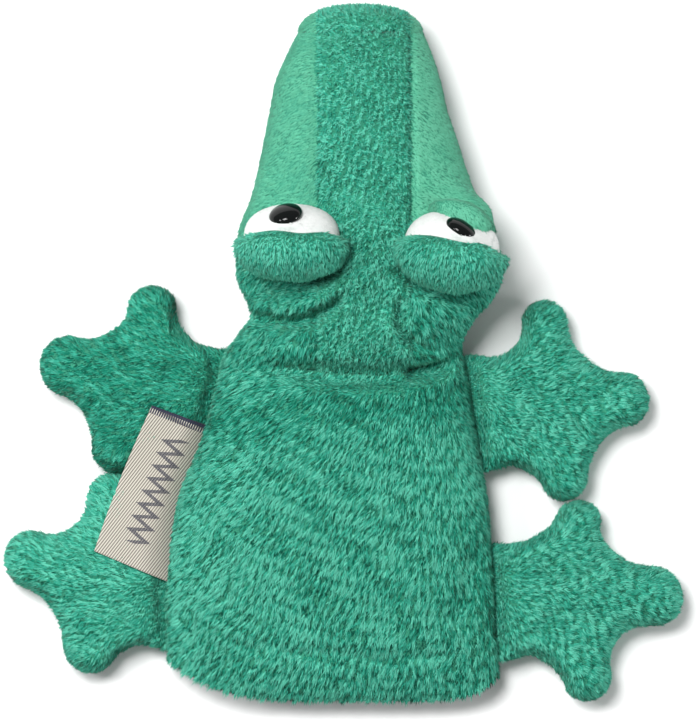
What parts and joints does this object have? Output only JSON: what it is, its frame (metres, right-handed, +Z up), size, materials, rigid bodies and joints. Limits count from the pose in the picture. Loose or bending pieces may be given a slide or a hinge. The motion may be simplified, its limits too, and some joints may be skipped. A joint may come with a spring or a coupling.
{
  "type": "moving mouth hand puppet",
  "caption": "Flat-lying plush animal hand puppet with a long hinged snout, bulging lidded eyes, star-shaped hands and feet, and a hand sleeve open at the hem.",
  "frame": {"origin": "on the flat underside of the sleeve, near the middle of the belly", "axes": "+X to the right as seen from above, +Y from the hem towards the snout tip, +Z up from the surface the puppet lies on"},
  "size_m": [0.2518, 0.259, 0.0622],
  "materials": {
    "plush_green": "short curly plush pile, matt",
    "plush_pale": "short plush pile laid flat, matt with a light sheen",
    "plush_white": "very short white plush, matt",
    "eye_black": "polished black",
    "mouth_lining": "short-napped woven lining, matt",
    "foam_board": "closed foam sheet, matt",
    "wadding": "loose polyester filling",
    "washer_plastic": "moulded, matt",
    "label_weave": "diagonal rib weave, satin thread"
  },
  "bodies": {
    "sleeve": {"back_panel": "plush_green", "belly_panel": "plush_green"},
    "head": {"snout_top_panel": "plush_green", "cheek_left_panel": "plush_pale", "cheek_right_panel": "plush_pale", "nose_cap": "plush_green", "throat_panel": "plush_green", "palate_upper": "mouth_lining", "mouth_board_upper": "foam_board", "snout_padding": "wadding", "eye_white_left": "plush_white", "eye_stuffing_left": "wadding", "pupil_left": "eye_black", "eye_washer_left": "washer_plastic", "eyelid_left": "plush_green", "eye_white_right": "plush_white", "eye_stuffing_right": "wadding", "pupil_right": "eye_black", "eye_washer_right": "washer_plastic", "eyelid_right": "plush_green"},
    "jaw": {"jaw_panel": "plush_green", "palate_lower": "mouth_lining", "mouth_board_lower": "foam_board"},
    "hand_left": {"hand_left_top": "plush_green", "hand_left_under": "plush_green", "hand_left_wadding": "wadding"},
    "hand_right": {"hand_right_top": "plush_green", "hand_right_under": "plush_green", "hand_right_wadding": "wadding"},
    "foot_left": {"foot_left_top": "plush_green", "foot_left_under": "plush_green", "foot_left_wadding": "wadding"},
    "foot_right": {"foot_right_top": "plush_green", "foot_right_under": "plush_green", "foot_right_wadding": "wadding"},
    "label": {"woven_label": "label_weave"}
  },
  "joints": [
    {"name": "neck_nod", "type": "hinge", "parent": "sleeve", "child": "head", "pos_m": [0, 0.022, 0.012], "axis": [1, 0, 0], "range_deg": [-50, 40]},
    {"name": "jaw_open", "type": "hinge", "parent": "head", "child": "jaw", "pos_m": [0, 0.048, 0.016], "axis": [-1, 0, 0], "range_deg": [0, 50]},
    {"name": "hand_left_swing", "type": "hinge", "parent": "sleeve", "child": "hand_left", "pos_m": [-0.0525, -0.003, 0.008], "axis": [0, 1, 0], "range_deg": [-45, 0]},
    {"name": "hand_right_swing", "type": "hinge", "parent": "sleeve", "child": "hand_right", "pos_m": [0.0495, -0.005, 0.008], "axis": [0, -1, 0], "range_deg": [-45, 45]},
    {"name": "foot_left_swing", "type": "hinge", "parent": "sleeve", "child": "foot_left", "pos_m": [-0.067, -0.074, 0.008], "axis": [0, 1, 0], "range_deg": [-45, 0]},
    {"name": "foot_right_swing", "type": "hinge", "parent": "sleeve", "child": "foot_right", "pos_m": [0.0565, -0.075, 0.008], "axis": [0, -1, 0], "range_deg": [-45, 45]},
    {"name": "label_flap", "type": "hinge", "parent": "sleeve", "child": "label", "pos_m": [-0.0665, -0.0345, 0.0145], "axis": [0.2656, 0.9641, 0], "range_deg": [0, 90]}
  ]
}
